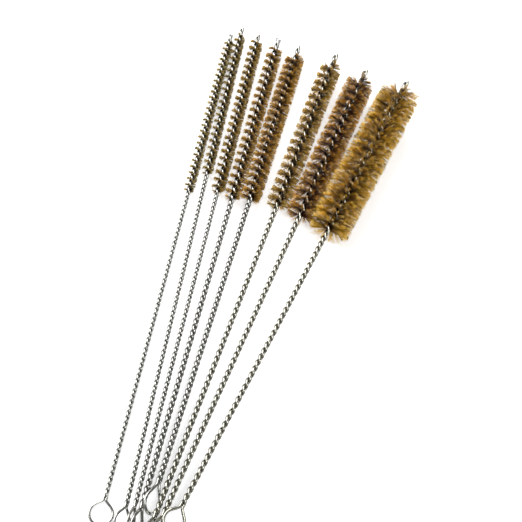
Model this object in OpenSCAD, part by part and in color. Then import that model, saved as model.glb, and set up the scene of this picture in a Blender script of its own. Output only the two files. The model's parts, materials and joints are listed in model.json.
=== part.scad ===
/* [Brushes] */
// Outer diameter of each brush head, thinnest brush first: brushes 1 to 4
head_d_1_to_4 = [6, 6.5, 8, 9.5]; // [5:0.5:12]
// Outer diameter of each brush head: brushes 5 to 8
head_d_5_to_8 = [12, 13, 17, 24]; // [10:0.5:26]
// Length that is filled with filaments on most brushes
head_len = 105; // [80:1:120]
// Bare twisted wire past the last filaments on the three thin brushes
thin_tip = 5; // [3:0.5:8]
// Bare twisted wire past the last filaments on the five thick brushes
thick_tip = 7; // [3:0.5:10]
// Thickness of one row of filaments at its rim
row_rim_t = 0.3; // [0.2:0.1:0.6]
// Thickness of one row of filaments where the wire grips it
row_root_t = 1.2; // [0.8:0.1:2]

/* [Wire] */
// Wire of the three thin brushes
thin_wire_d = 1.2; // [1:0.1:1.4]
// Wire of the five thick brushes
thick_wire_d = 1.5; // [1.3:0.1:1.6]
// Outer width of the ring that the wire is folded into
ring_w = 12; // [11:0.5:13]

/* [Hidden] */
COUNT = 8;

$fn = 48;
STEEL = [0.72, 0.72, 0.70];
BRASS = [0.78, 0.60, 0.22];
GAP = 0.4;          // air left between neighbouring heads
BITE = 0.1;         // how far the row's sleeve bites into the twisted wire
SLEEVE_T = 0.35;    // wall of the packed filament roots around the wire
FATTER = 1.06;      // a collar this much fatter than the wire joins each leg to the ring
COLLAR = 0.8;       // length of that collar
SEAM = 0.05;        // legs stop this far short of the ring's arc, inside the collar
BIG = 60;           // reach of a cutting block past the heads

// One entry per brush, thinnest first.
head_d = concat(head_d_1_to_4, head_d_5_to_8);
wire_d = [for (i = [0:COUNT - 1]) i < 3 ? thin_wire_d : thick_wire_d];
neck_x = [-21.5, -11, -7.25, -4.1, -1, 3.1, 6.5, 13];     // where the ring leaves the twist
neck_y = [-136, -136.5, -135, -134.5, -121, -136.5, -134.5, -128];
heading = [-7.25, -8.25, -7, -5.25, -3.5, 0.25, 3.5, 7.25];  // degrees right of +Y
stem_len = [170, 185, 174, 172, 161, 178, 174, 164];     // neck to the first filaments
head_trim = [-1, -7, 1, 1, -4, -2, -5, -1];              // head length against head_len
ring_reach = [7, 8, 8.5, 8.5, 9.5, 8.5, 8.5, 7.5];       // neck to the ring's centre
ring_roll = [0, 48, 72, 62, 48, 64, 66, 20];             // left edge raised by this angle
ring_lift = [0, 0, 0, 0, 0.3, 0, 0, 4.5];                // these rings lie on their neighbours

function ring_r(i) = (ring_w - wire_d[i]) / 2;
function brush_len(i) = head_len + head_trim[i];
function wire_len(i) = stem_len[i] + brush_len(i) + (i < 3 ? thin_tip : thick_tip);
function row_pitch(i) = i < 3 ? 4 : 5;

// A rolled ring stands on its lower edge, and a flat one lies with its twisted stem on the floor.
function neck_z(i) = max(wire_d[i], ring_r(i) * sin(ring_roll[i]) + wire_d[i] / 2) + ring_lift[i];

// The head touches the floor at whichever of its ends is lower.
function rest_y(i) = neck_z(i) > head_d[i] / 2 ? stem_len[i] + brush_len(i) : stem_len[i];
function tilt(i) = asin((head_d[i] / 2 - neck_z(i)) / rest_y(i));

// Plan position of brush i's axis at a given y.
function axis_x(i, y) = neck_x[i] + (y - neck_y[i]) * tan(heading[i]);

// Plan line between brushes i and i + 1, split in the ratio of their radii.
function between(i, y) =
    let (share = head_d[i] / (head_d[i] + head_d[i + 1]))
    [axis_x(i, y) + share * (axis_x(i + 1, y) - axis_x(i, y)), y];

// Puts a shape drawn along +Y from the neck in brush i's place.
module placed(i) {
    translate([neck_x[i], neck_y[i], neck_z(i)])
        rotate([0, 0, -heading[i]])
            rotate([tilt(i), 0, 0])
                children();
}

// Straight round wire from a to b in the ring's plane.
module rod(a, b, r) {
    run = b - a;
    translate([a[0], a[1], 0])
        rotate([0, 0, atan2(run[1], run[0])])
            rotate([0, 90, 0])
                cylinder(r = r, h = norm(run));
}

// Ring and its two legs, lying in the XY plane with the neck at the origin.
module ring(i) {
    r = wire_d[i] / 2;
    leg_x = 1.12 * r;
    leg_y = 0.4;
    centre = [0, -ring_reach[i]];
    reach = norm([leg_x, leg_y + ring_reach[i]]);
    seam_a = atan2(leg_x, leg_y + ring_reach[i]) + acos(ring_r(i) / reach);
    translate(centre)
        rotate([0, 0, 90 + seam_a])
            rotate_extrude(angle = 360 - 2 * seam_a)
                translate([ring_r(i), 0])
                    circle(r = r);
    for (side = [-1, 1]) {
        start = [side * leg_x, leg_y];
        end = centre + ring_r(i) * [side * sin(seam_a), cos(seam_a)];
        run = end - start;
        along = run / norm(run);
        rod(start, end - SEAM * along, r);
        rod(end - COLLAR / 2 * along, end + COLLAR / 2 * along, FATTER * r);
    }
}

// Two legs twisted together, as the round envelope of the twist, with the two cut ends at the tip.
module wire(i) {
    cut_ends = 2;
    placed(i) {
        rotate([-90, 0, 0])
            cylinder(r = wire_d[i], h = wire_len(i) - cut_ends);
        for (side = [-1, 1])
            translate([side * 0.47 * wire_d[i], wire_len(i) - cut_ends - 0.5, 0])
                rotate([-90, 0, 0])
                    cylinder(r = wire_d[i] / 2, h = cut_ends + 0.5);
        rotate([0, ring_roll[i], 0])
            ring(i);
    }
}

// Filament rows around the twist: one thin spread disc for each half turn of the wire.
module rows(i) {
    bore = wire_d[i] - BITE;
    sleeve = wire_d[i] + SLEEVE_T;
    rim = head_d[i] / 2;
    pitch = row_pitch(i);
    count = floor(brush_len(i) / pitch);
    first = (brush_len(i) - (count - 1) * pitch) / 2;
    outline = concat(
        [[bore, 0], [sleeve, 0]],
        [for (k = [0:count - 1]) let (y = first + k * pitch) each [
            [sleeve, y - row_root_t / 2],
            [rim, y - row_rim_t / 2],
            [rim, y + row_rim_t / 2],
            [sleeve, y + row_root_t / 2]
        ]],
        [[sleeve, brush_len(i)], [bore, brush_len(i)]]
    );
    placed(i)
        translate([0, stem_len[i], 0])
            rotate([-90, 0, 0])
                rotate_extrude()
                    polygon(outline);
}

// Everything on one side of the line between brushes i and i + 1: side -1 is its left.
module beyond(i, side) {
    low = neck_y[i] + 0.8 * stem_len[i];
    high = low + head_len + BIG;
    a = between(i, low) + [side * GAP / 2, 0];
    b = between(i, high) + [side * GAP / 2, 0];
    translate([0, 0, -BIG])
        linear_extrude(2 * BIG)
            polygon([a, b, b + [side * BIG, 0], a + [side * BIG, 0]]);
}

// Head of brush i, kept clear of its neighbours.
module bristles(i) {
    difference() {
        rows(i);
        if (i > 0)
            beyond(i - 1, -1);
        if (i < COUNT - 1)
            beyond(i, 1);
    }
}

module brush_wire(i) {
    color(STEEL)
        wire(i);
}

module brush_bristles(i) {
    color(BRASS)
        bristles(i);
}

for (i = [1:COUNT]) {
    brush_wire(i - 1);
    brush_bristles(i - 1);
}
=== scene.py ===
import json
import math

import bpy
import numpy as np
from mathutils import Matrix, Vector


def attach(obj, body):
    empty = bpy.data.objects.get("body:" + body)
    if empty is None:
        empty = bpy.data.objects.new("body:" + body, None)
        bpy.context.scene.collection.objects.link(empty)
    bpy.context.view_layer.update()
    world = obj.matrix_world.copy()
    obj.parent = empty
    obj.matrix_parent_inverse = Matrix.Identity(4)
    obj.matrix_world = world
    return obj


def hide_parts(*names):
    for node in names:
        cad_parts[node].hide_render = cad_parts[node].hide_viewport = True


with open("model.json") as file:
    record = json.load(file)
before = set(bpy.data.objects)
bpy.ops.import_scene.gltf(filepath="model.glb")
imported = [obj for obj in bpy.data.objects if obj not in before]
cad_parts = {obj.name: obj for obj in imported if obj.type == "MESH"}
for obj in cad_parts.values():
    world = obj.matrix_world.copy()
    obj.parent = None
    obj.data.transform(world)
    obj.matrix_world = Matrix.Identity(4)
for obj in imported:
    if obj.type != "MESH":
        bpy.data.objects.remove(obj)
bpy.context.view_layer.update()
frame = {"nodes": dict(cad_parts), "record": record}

MM = 0.001

# ---------------------------------------------------------------- the brushes
# Sizes in millimetres, thinnest brush first. The twist's pitch is one full turn of the wire.
COUNT = 8
STRAND_R = [0.6, 0.6, 0.6, 0.75, 0.75, 0.75, 0.75, 0.75]
RING_W = 12.0
RING_REACH = [7, 8, 8.5, 8.5, 9.5, 8.5, 8.5, 7.5]
STEM_PITCH = [5.6, 5.5, 5.4, 6.6, 6.1, 7.1, 7.1, 7.2]
HEAD_PITCH = [7.8, 9.0, 9.2, 10.0, 9.6, 11.0, 11.2, 10.4]
# Where each leg runs into the ring's arc, in degrees from the ring's top: left leg, right leg
LEG_ANGLES = [(34, 70), (58, 58), (58, 58), (58, 58), (64, 64), (58, 58), (58, 58), (66, 48)]
# How far the filaments push the two legs apart in the head, as a share of the strand's radius
HEAD_APART = [0.22, 0.22, 0.24, 0.26, 0.28, 0.28, 0.28, 0.28]
# How far the two cut ends stand apart at the tip, as a share of the strand's radius
TIP_SPLAY = [0.2, 0.0, 0.9, 0.3, 0.2, 0.4, 0.5, 0.4]
# The drawn wire is this much fatter than its strand's radius, and its cut ends are this much thinner
WIRE_FATTER = 1.05
CUT_END = 0.72
WIRE_SIDES = 12

# Filaments in each half of a head, their radius, and the straight parts in each
HAIRS = [7200, 7600, 8200, 6600, 7000, 5600, 5800, 6000]
HAIR_R = [0.065, 0.065, 0.07, 0.075, 0.08, 0.085, 0.085, 0.085]
HAIR_PARTS = [3, 3, 3, 4, 4, 5, 5, 5]
HAIR_SIDES = 3
# Spread of the filaments about the twist's own plane, in degrees
FAN_SPREAD = [15, 15, 14, 11, 11, 10, 11, 12]
# Filaments in one clump, which lean and shine alike
CLUMP = 7
# Lean of the filaments towards the tip, as a slope
LEAN = [-0.06, -0.06, -0.1, -0.14, -0.18, -0.22, -0.24, -0.24]
# Share of filaments that stray from their clump
STRAYS = 0.02

# Filament colours: the lit part of a head, and the part near the wire, darkened by painted shade and
# tarnish
GOLD = [
    (0.46, 0.33, 0.05), (0.48, 0.33, 0.045), (0.58, 0.36, 0.035), (0.76, 0.43, 0.025),
    (0.80, 0.43, 0.025), (0.76, 0.47, 0.045), (0.84, 0.43, 0.03), (1.0, 0.62, 0.035),
]
BROWN = [
    (0.03, 0.016, 0.004), (0.03, 0.016, 0.004), (0.03, 0.014, 0.003), (0.045, 0.016, 0.003),
    (0.05, 0.013, 0.003), (0.045, 0.018, 0.004), (0.07, 0.013, 0.003), (0.10, 0.036, 0.004),
]
# The palest filaments come close to this colour, a painted highlight
CREAM = (0.98, 0.80, 0.46)
# How far out the filaments turn from brown to gold, as a share of their length
GOLDEN_FROM = [0.45, 0.45, 0.45, 0.5, 0.5, 0.42, 0.6, 0.4]
# Wire colours: as drawn, painted shade in the grooves and underneath, and at grazing angles
# Brushes 6 to 8 get a warmer tint, a painted reflection of their brass filaments.
STEEL_TINT = [(0.68, 0.68, 0.65)] * 5 + [(0.68, 0.67, 0.59)] * 3
SHADED_STEEL = (0.03, 0.028, 0.022, 1)
STEEL_EDGE = (0.12, 0.12, 0.11, 1)


def unit(v):
    return v / np.linalg.norm(v)


def vertices(node):
    mesh = frame["nodes"][node].data
    v = np.empty(len(mesh.vertices) * 3)
    mesh.vertices.foreach_get("co", v)
    return v.reshape(-1, 3)


class Brush:
    """One brush's axes and lengths, read from its CAD nodes."""

    def __init__(self, i):
        self.i = i
        mount = next(m for m in frame["record"]["mounts"] if m["name"] == f"ring_{i + 1}")
        self.centre = np.array(mount["pos_m"])
        normal = unit(np.array(mount["axis"]))
        wire = vertices(f"brush_{i + 1}_wire")
        reach = np.linalg.norm(wire - self.centre, axis=1)
        tip = wire[reach > reach.max() - 0.3 * MM].mean(axis=0)
        self.axis = unit(tip - self.centre)
        self.left = unit(np.cross(normal, self.axis))
        self.normal = np.cross(self.axis, self.left)
        self.neck = self.centre + RING_REACH[i] * MM * self.axis
        self.length = float((tip - self.neck) @ self.axis)
        head = vertices(f"brush_{i + 1}_bristles") - self.neck
        along = head @ self.axis
        self.head_start, self.head_end = float(along.min()), float(along.max())
        self.head_r = float(np.linalg.norm(head - along[:, None] * self.axis, axis=1).max())
        self.r = STRAND_R[i] * MM
        self.twist()

    def twist(self):
        """Phase of the twist against the distance from the neck."""
        step, ease, untwisted = 0.12 * MM, 5 * MM, 2.5 * MM
        self.s = np.linspace(0, self.length, int(self.length / step))
        in_head = np.clip((self.s - self.head_start + ease) / (2 * ease), 0, 1)
        in_head = in_head * in_head * (3 - 2 * in_head)
        rate_stem = 2 * math.pi / (STEM_PITCH[self.i] * MM)
        rate_head = 2 * math.pi / (HEAD_PITCH[self.i] * MM)
        rate = rate_stem + (rate_head - rate_stem) * in_head
        start = np.clip(self.s / untwisted, 0, 1)
        rate = rate * start * start * (3 - 2 * start)
        self.phase = np.concatenate([[0], np.cumsum(rate[:-1] * np.diff(self.s))])

    def turn(self, s):
        return np.interp(s, self.s, self.phase)

    def around(self, angle):
        """Unit vectors square to the axis at these angles, in the twist's own sense."""
        angle = np.asarray(angle)[..., None]
        return np.cos(angle) * self.left + np.sin(angle) * self.normal

    def in_plane(self, across, along):
        """Points of the ring's plane, measured from the neck."""
        across, along = np.asarray(across)[..., None], np.asarray(along)[..., None]
        return self.neck + across * self.left + along * self.axis


brushes = [Brush(i) for i in range(COUNT)]


# ---------------------------------------------------------------- meshes
def mesh_object(name, verts, faces, smooth=True):
    mesh = bpy.data.meshes.new(name)
    faces = [np.asarray(f, dtype=np.int64) for f in faces if len(f)]
    loops = np.concatenate([f.ravel() for f in faces])
    sizes = np.concatenate([np.full(len(f), f.shape[1]) for f in faces])
    starts = np.concatenate([[0], np.cumsum(sizes)[:-1]])
    mesh.vertices.add(len(verts))
    mesh.vertices.foreach_set("co", np.asarray(verts, dtype=np.float32).ravel())
    mesh.loops.add(len(loops))
    mesh.loops.foreach_set("vertex_index", loops.astype(np.int32))
    mesh.polygons.add(len(sizes))
    mesh.polygons.foreach_set("loop_start", starts.astype(np.int32))
    mesh.polygons.foreach_set("loop_total", sizes.astype(np.int32))
    mesh.polygons.foreach_set("use_smooth", np.full(len(sizes), smooth))
    mesh.update(calc_edges=True)
    mesh.validate()
    obj = bpy.data.objects.new(name, mesh)
    bpy.context.scene.collection.objects.link(obj)
    return obj


def add_values(obj, name, values):
    layer = obj.data.attributes.new(name, "FLOAT", "POINT")
    layer.data.foreach_set("value", np.asarray(values, dtype=np.float32))


def sweep(path, radii, sides):
    """Round tube along path, closed at both ends: its vertices and faces."""
    count = len(path)
    tangent = np.gradient(path, axis=0)
    tangent /= np.linalg.norm(tangent, axis=1)[:, None]
    side = np.empty_like(path)
    not_along_it = [0.3, 0.5, 0.8]
    side[0] = unit(np.cross(tangent[0], not_along_it))
    for k in range(1, count):
        carried = side[k - 1] - (side[k - 1] @ tangent[k]) * tangent[k]
        side[k] = carried / np.linalg.norm(carried)
    other = np.cross(tangent, side)
    angle = np.arange(sides) * 2 * math.pi / sides
    cos, sin = np.cos(angle)[None, :, None], np.sin(angle)[None, :, None]
    ring = cos * side[:, None] + sin * other[:, None]
    verts = (path[:, None] + radii[:, None, None] * ring).reshape(-1, 3)
    k = np.arange(count - 1)[:, None] * sides
    a = np.arange(sides)[None]
    b = (a + 1) % sides
    quads = np.stack([k + a, k + b, k + sides + b, k + sides + a], axis=-1).reshape(-1, 4)
    first = np.arange(sides)[::-1][None]
    last = ((count - 1) * sides + np.arange(sides))[None]
    return verts, [quads, first, last]


# ---------------------------------------------------------------- the wire
def strand(brush, side):
    """Centre line of one twisted leg from the neck to the tip: side is 0 or pi."""
    step, ease = 0.33 * MM, 3 * MM
    s = np.append(np.arange(0, brush.length, step), brush.length)
    past_head = np.clip((s - brush.head_end) / (brush.length - brush.head_end), 0, 1)
    in_head = np.clip(np.minimum(s - brush.head_start, brush.head_end - s) / ease, 0, 1)
    radius = brush.r * (1.0 + TIP_SPLAY[brush.i] * past_head ** 2 + HEAD_APART[brush.i] * in_head)
    turned = -brush.turn(s) + side
    return brush.neck + s[:, None] * brush.axis + radius[:, None] * brush.around(turned)


def leg(brush, sign, degrees):
    """One leg from the neck into the ring's arc, as a curve that bends where it leaves the twist."""
    ring_r = RING_W / 2 * MM - brush.r
    angle = math.radians(degrees)
    reach = RING_REACH[brush.i] * MM
    start = np.array([sign * brush.r, 0])
    end = np.array([sign * ring_r * math.sin(angle), -reach + ring_r * math.cos(angle)])
    heading = np.array([sign * math.cos(angle), -math.sin(angle)])
    span = np.linalg.norm(end - start)
    c1 = start + np.array([0, -1]) * span * 0.22
    c2 = end - heading * span * 0.42
    t = np.linspace(0, 1, 16)[:-1, None]
    p = (1 - t) ** 3 * start + 3 * (1 - t) ** 2 * t * c1 + 3 * (1 - t) * t * t * c2 + t ** 3 * end
    return brush.in_plane(p[:, 0], p[:, 1])


def wire_path(brush):
    """The whole wire: down one leg of the twist, round the ring and back up the other leg."""
    ring_r = RING_W / 2 * MM - brush.r
    left, right = LEG_ANGLES[brush.i]
    angle = np.radians(np.linspace(left, 360 - right, 56))
    arc = brush.in_plane(ring_r * np.sin(angle), -RING_REACH[brush.i] * MM + ring_r * np.cos(angle))
    down = strand(brush, 0)[::-1][:-1]
    up = strand(brush, math.pi)[1:]
    return np.concatenate([down, leg(brush, 1, left), arc, leg(brush, -1, right)[::-1], up])


def make_wire(brush):
    path = wire_path(brush)
    radii = np.full(len(path), brush.r * WIRE_FATTER)
    radii[[0, -1]] *= CUT_END
    verts, faces = sweep(path, radii, WIRE_SIDES)
    obj = mesh_object(f"wire_{brush.i + 1}", verts, faces)
    from_neck = verts - brush.neck
    along = from_neck @ brush.axis
    depth = np.linalg.norm(from_neck - along[:, None] * brush.axis, axis=1) / brush.r
    # These two values mark where the steel gets painted shade: deep in the grooves and on the
    # underside.
    in_the_open = 2.0
    add_values(obj, "from_axis", np.where(along < 0, in_the_open, depth))
    from_centre = verts - np.repeat(path, WIRE_SIDES, axis=0)
    add_values(obj, "facing_up", from_centre[:, 2] / np.repeat(radii, WIRE_SIDES))
    return obj


# ---------------------------------------------------------------- the filaments
def thin_rods(points, across, along, radius):
    """A tapering rod along each row of points, closed at both ends: their vertices and faces."""
    count, ring = points.shape[:2]
    corner = np.arange(HAIR_SIDES) * 2 * math.pi / HAIR_SIDES
    taper = np.linspace(1, 0.8, ring)[None, :, None, None] * radius
    off = (
        np.cos(corner)[None, None, :, None] * along
        + np.sin(corner)[None, None, :, None] * across[:, None, None]
    )
    verts = (points[:, :, None] + taper * off).reshape(-1, 3)
    base = (np.arange(count) * ring * HAIR_SIDES)[:, None, None]
    k = base + (np.arange(ring - 1) * HAIR_SIDES)[None, :, None]
    a = np.arange(HAIR_SIDES)[None, None]
    b = (a + 1) % HAIR_SIDES
    quads = np.stack([k + a, k + b, k + HAIR_SIDES + b, k + HAIR_SIDES + a], -1).reshape(-1, 4)
    foot = base[:, 0] + np.arange(HAIR_SIDES)[::-1][None]
    end = base[:, 0] + (ring - 1) * HAIR_SIDES + np.arange(HAIR_SIDES)[None]
    return verts, [quads, foot, end]


def make_filaments(brush, half):
    """Half of one head's filament ends, standing out of one side of the twist in its own plane."""
    rng = np.random.default_rng(40 + 2 * brush.i + half)
    count = HAIRS[brush.i]
    parts = HAIR_PARTS[brush.i]
    inset = 0.4 * MM
    first = brush.head_start + 0.15 * brush.head_r
    s = np.sort(rng.uniform(first, brush.head_end - inset, count))
    clump = np.arange(count) // CLUMP

    def varied(middle, between, within):
        """A value for each filament that differs between clumps and a little within them."""
        shared = rng.normal(middle, between, clump[-1] + 1)
        return shared[clump] + rng.normal(0, within, count)

    spread = np.radians(np.clip(varied(0, FAN_SPREAD[brush.i], 2.5), -60, 60))
    angle = -brush.turn(s) + math.pi * (half + 0.5)
    radial = brush.around(angle)
    across = brush.around(angle + math.pi / 2)

    at_start = np.clip((first + 5 * MM - s) / (5 * MM), 0, 1)
    at_end = np.clip((s - brush.head_end + 6 * MM) / (6 * MM), 0, 1)
    lean = varied(LEAN[brush.i], 0.09, 0.03) + 0.3 * at_start ** 2
    stray = rng.random(count) < STRAYS
    lean = np.where(stray, lean + rng.choice([-1, 1], count) * rng.uniform(0.2, 0.5, count), lean)
    trim = 1 - np.abs(varied(0, 0.035, 0.015)) + stray * 0.07
    length = brush.head_r * trim * (1 - 0.14 * at_start ** 2 - 0.12 * at_end ** 2)
    bend = varied(0, 0.07, 0.02) * brush.head_r
    sweep_back = varied(0, 0.05, 0.02) * brush.head_r
    crimp = rng.uniform(0.05, 0.13, count) * MM * min(1, brush.head_r / (6 * MM))
    wave = rng.uniform(3.0, 5.0, count) * MM
    shift = rng.uniform(0, 2 * math.pi, count)

    gripped = 2.1 * brush.r
    t = np.linspace(0, 1, parts + 1)[None, :]
    reach = gripped * 0.5 + (length[:, None] - gripped * 0.5) * t
    free = np.maximum(reach - gripped, 0)
    fan = free * np.sin(spread)[:, None]
    out = reach - free * (1 - np.cos(spread)[:, None])
    ripple = crimp[:, None] * np.sin(2 * math.pi * reach / wave[:, None] + shift[:, None])
    aside = (fan + bend[:, None] * t ** 2 + ripple)[..., None]
    ahead = (reach * lean[:, None] + sweep_back[:, None] * t ** 2 + ripple * 0.7)[..., None]
    root = brush.neck + s[:, None] * brush.axis
    points = (
        root[:, None]
        + out[..., None] * radial[:, None]
        + aside * across[:, None]
        + ahead * brush.axis
    )

    hair_r = HAIR_R[brush.i] * MM
    floor_z = hair_r * 1.1
    points[..., 2] = np.maximum(points[..., 2], floor_z)
    verts, faces = thin_rods(points, across, brush.axis, hair_r)
    obj = mesh_object(f"filaments_{brush.i + 1}_{'ab'[half]}", verts, faces)

    tone = np.clip(varied(0.5, 0.26, 0.08), 0, 1)
    outward = np.repeat(np.linspace(0, 1, parts + 1), HAIR_SIDES)
    add_values(obj, "tone", np.repeat(tone, len(outward)))
    add_values(obj, "outward", np.tile(outward, count))
    return obj


# ---------------------------------------------------------------- materials
def material(name):
    mat = bpy.data.materials.new(name)
    mat.use_nodes = True
    nodes, links = mat.node_tree.nodes, mat.node_tree.links
    return mat, nodes, links, nodes["Principled BSDF"]


def steel(name, tint):
    """Bright drawn wire: faint streaks, a slightly uneven zinc bloom, and painted shade in the
    grooves and underneath.
    """
    mat, nodes, links, shader = material(name)
    shader.inputs["Metallic"].default_value = 1.0
    shader.inputs["Specular Tint"].default_value = STEEL_EDGE
    place = nodes.new("ShaderNodeTexCoord")
    bloom = nodes.new("ShaderNodeTexNoise")
    bloom.inputs["Scale"].default_value = 900
    bloom.inputs["Detail"].default_value = 4
    links.new(place.outputs["Object"], bloom.inputs["Vector"])
    shade = nodes.new("ShaderNodeValToRGB")
    shade.color_ramp.elements[0].position = 0.3
    shade.color_ramp.elements[0].color = (tint[0] * 0.7, tint[1] * 0.69, tint[2] * 0.66, 1)
    shade.color_ramp.elements[1].position = 0.7
    shade.color_ramp.elements[1].color = (*tint, 1)
    links.new(bloom.outputs["Fac"], shade.inputs["Fac"])
    from_axis = nodes.new("ShaderNodeAttribute")
    from_axis.attribute_name = "from_axis"
    groove = nodes.new("ShaderNodeMapRange")
    groove.inputs["From Min"].default_value = 0.7
    groove.inputs["From Max"].default_value = 1.3
    links.new(from_axis.outputs["Fac"], groove.inputs["Value"])
    facing_up = nodes.new("ShaderNodeAttribute")
    facing_up.attribute_name = "facing_up"
    upper = nodes.new("ShaderNodeMapRange")
    upper.inputs["From Min"].default_value = 0.0
    upper.inputs["From Max"].default_value = 0.5
    links.new(facing_up.outputs["Fac"], upper.inputs["Value"])
    # Painted shade: the wire turns to SHADED_STEEL in the grooves between strands and on its
    # underside.
    unshaded = nodes.new("ShaderNodeMath")
    unshaded.operation = "MULTIPLY"
    links.new(groove.outputs["Result"], unshaded.inputs[0])
    links.new(upper.outputs["Result"], unshaded.inputs[1])
    mix = nodes.new("ShaderNodeMix")
    mix.data_type = "RGBA"
    mix.inputs["A"].default_value = SHADED_STEEL
    links.new(unshaded.outputs[0], mix.inputs["Factor"])
    links.new(shade.outputs["Color"], mix.inputs["B"])
    links.new(mix.outputs["Result"], shader.inputs["Base Color"])
    gloss = nodes.new("ShaderNodeMapRange")
    gloss.inputs["To Min"].default_value = 0.16
    gloss.inputs["To Max"].default_value = 0.30
    links.new(bloom.outputs["Fac"], gloss.inputs["Value"])
    links.new(gloss.outputs["Result"], shader.inputs["Roughness"])
    streak = nodes.new("ShaderNodeTexNoise")
    streak.inputs["Scale"].default_value = 4200
    streak.inputs["Detail"].default_value = 2
    links.new(place.outputs["Object"], streak.inputs["Vector"])
    bump = nodes.new("ShaderNodeBump")
    bump.inputs["Strength"].default_value = 0.12
    bump.inputs["Distance"].default_value = 0.00005
    links.new(streak.outputs["Fac"], bump.inputs["Height"])
    links.new(bump.outputs["Normal"], shader.inputs["Normal"])
    return mat


def brass(name, gold, brown, golden_from):
    """Fine brass filament: each has its own tone, with painted shade and a painted highlight at its
    ends, and all darken towards the wire with painted shade and tarnish.
    """
    mat, nodes, links, shader = material(name)
    shader.inputs["Metallic"].default_value = 0.75
    shader.inputs["Roughness"].default_value = 0.3
    tone = nodes.new("ShaderNodeAttribute")
    tone.attribute_name = "tone"
    # Each clump's random tone runs from a dark end, painted shade, to a cream end, painted
    # highlight.
    each = nodes.new("ShaderNodeValToRGB")
    ramp = each.color_ramp
    ramp.elements[0].position = 0.1
    ramp.elements[0].color = (*[c * 0.16 for c in gold], 1)
    ramp.elements[1].position = 0.88
    ramp.elements[1].color = (*[0.3 * c + 0.7 * k for c, k in zip(gold, CREAM)], 1)
    middle = ramp.elements.new(0.45)
    middle.color = (*gold, 1)
    links.new(tone.outputs["Fac"], each.inputs["Fac"])
    # Towards the wire the filaments darken to brown: painted shade, with some tarnish.
    outward = nodes.new("ShaderNodeAttribute")
    outward.attribute_name = "outward"
    depth = nodes.new("ShaderNodeMapRange")
    depth.inputs["From Min"].default_value = golden_from - 0.25
    depth.inputs["From Max"].default_value = golden_from + 0.3
    links.new(outward.outputs["Fac"], depth.inputs["Value"])
    mix = nodes.new("ShaderNodeMix")
    mix.data_type = "RGBA"
    mix.inputs["A"].default_value = (*brown, 1)
    links.new(depth.outputs["Result"], mix.inputs["Factor"])
    links.new(each.outputs["Color"], mix.inputs["B"])
    links.new(mix.outputs["Result"], shader.inputs["Base Color"])
    return mat


# ---------------------------------------------------------------- build
for brush in brushes:
    n = brush.i + 1
    wire = make_wire(brush)
    wire.data.materials.append(steel(f"steel_{n}", STEEL_TINT[brush.i]))
    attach(wire, f"brush_{n}")
    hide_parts(f"brush_{n}_wire")
    look = brass(f"brass_{n}", GOLD[brush.i], BROWN[brush.i], GOLDEN_FROM[brush.i])
    for half in (0, 1):
        filaments = make_filaments(brush, half)
        filaments.data.materials.append(look)
        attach(filaments, f"brush_{n}")
        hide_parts(f"brush_{n}_bristles")


# ---------------------------------------------------------------- camera, floor and light
def add_camera():
    """Seen from over the rings, with the fan leaning to the right of the frame."""
    target = Vector((6.5, 11, 0)) * MM
    distance, elevation, azimuth, roll = 586.3 * MM, 62.0, 0.9, 20.0
    e, a = math.radians(elevation), math.radians(azimuth)
    back = Vector((math.sin(a) * math.cos(e), -math.cos(a) * math.cos(e), math.sin(e)))
    data = bpy.data.cameras.new("camera")
    data.lens, data.sensor_width = 76.6, 36.0
    data.clip_start, data.clip_end = 0.05, 20
    camera = bpy.data.objects.new("camera", data)
    bpy.context.scene.collection.objects.link(camera)
    turn = (-back).to_track_quat("-Z", "Y").to_matrix().to_4x4()
    leaning = Matrix.Rotation(math.radians(roll), 4, "Z")
    camera.matrix_world = Matrix.Translation(target + back * distance) @ turn @ leaning
    bpy.context.scene.camera = camera


def add_light(name, place, size, power):
    data = bpy.data.lights.new(name, "AREA")
    data.shape, data.size, data.size_y = "RECTANGLE", *size
    data.energy = power
    light = bpy.data.objects.new(name, data)
    light.location = place
    light.rotation_mode = "QUATERNION"
    light.rotation_quaternion = (-Vector(place)).to_track_quat("-Z", "Y")
    bpy.context.scene.collection.objects.link(light)


def add_stage():
    half = 6.0
    floor = mesh_object(
        "floor",
        np.array([[-half, -half, 0], [half, -half, 0], [half, half, 0], [-half, half, 0]]),
        [np.array([[0, 1, 2, 3]])],
        smooth=False,
    )
    mat, nodes, links, shader = material("pale_floor")
    shader.inputs["Base Color"].default_value = (0.9, 0.9, 0.89, 1)
    shader.inputs["Roughness"].default_value = 0.8
    shader.inputs["Emission Color"].default_value = (1, 1, 1, 1)
    shader.inputs["Emission Strength"].default_value = 0.58
    floor.data.materials.append(mat)
    add_light("key", (-1.0, 0.6, 1.1), (2.6, 1.3), 44)
    add_light("fill", (0.5, -0.5, 1.6), (0.7, 0.7), 9)
    world = bpy.data.worlds.new("world")
    world.use_nodes = True
    world.node_tree.nodes["Background"].inputs["Color"].default_value = (0.8, 0.82, 0.85, 1)
    world.node_tree.nodes["Background"].inputs["Strength"].default_value = 0.16
    bpy.context.scene.world = world
    bpy.context.scene.view_settings.view_transform = "Standard"


add_camera()
add_stage()
